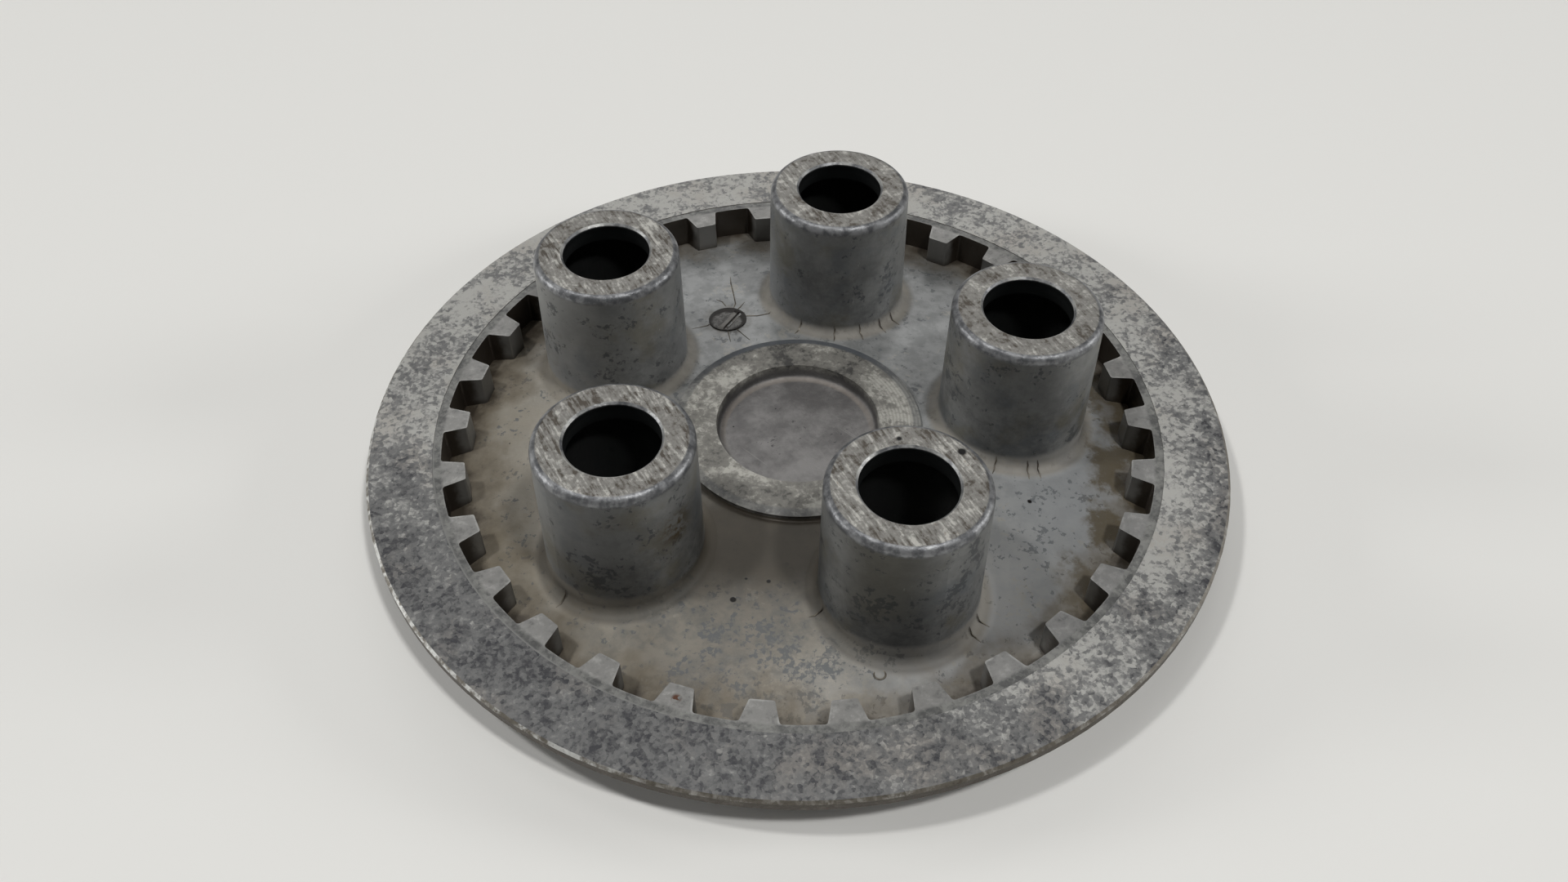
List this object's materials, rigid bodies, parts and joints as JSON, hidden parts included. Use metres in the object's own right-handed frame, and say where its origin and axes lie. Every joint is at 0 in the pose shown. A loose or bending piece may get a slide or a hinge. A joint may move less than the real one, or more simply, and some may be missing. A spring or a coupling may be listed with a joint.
{
  "type": "clutch pressure plate",
  "caption": "Round motorcycle clutch pressure plate with a flat friction flange, internal spline teeth, hollow spring towers and a recessed centre thrust pad",
  "frame": {"origin": "on the plate's axis, in the plane of its back rest ring", "axes": "+Z runs along the plate's axis from the back to the friction side; +X points at the first spring tower"},
  "size_m": [0.132, 0.132, 0.0286],
  "materials": {
    "friction_face": "flat machined friction face with grey and white oxide",
    "ring_casting": "as-cast aluminium, oil stained between the teeth",
    "web_casting": "semi-gloss as-cast aluminium",
    "thrust_pad": "turned aluminium face with light oxide",
    "tower_casting": "as-cast aluminium with scratched machined tops"
  },
  "bodies": {
    "root": {"friction_flange": "friction_face", "spline_ring": "ring_casting", "web_plate": "web_casting", "thrust_pad": "thrust_pad", "spring_tower_1": "tower_casting", "spring_tower_2": "tower_casting", "spring_tower_3": "tower_casting", "spring_tower_4": "tower_casting", "spring_tower_5": "tower_casting"}
  },
  "joints": []
}
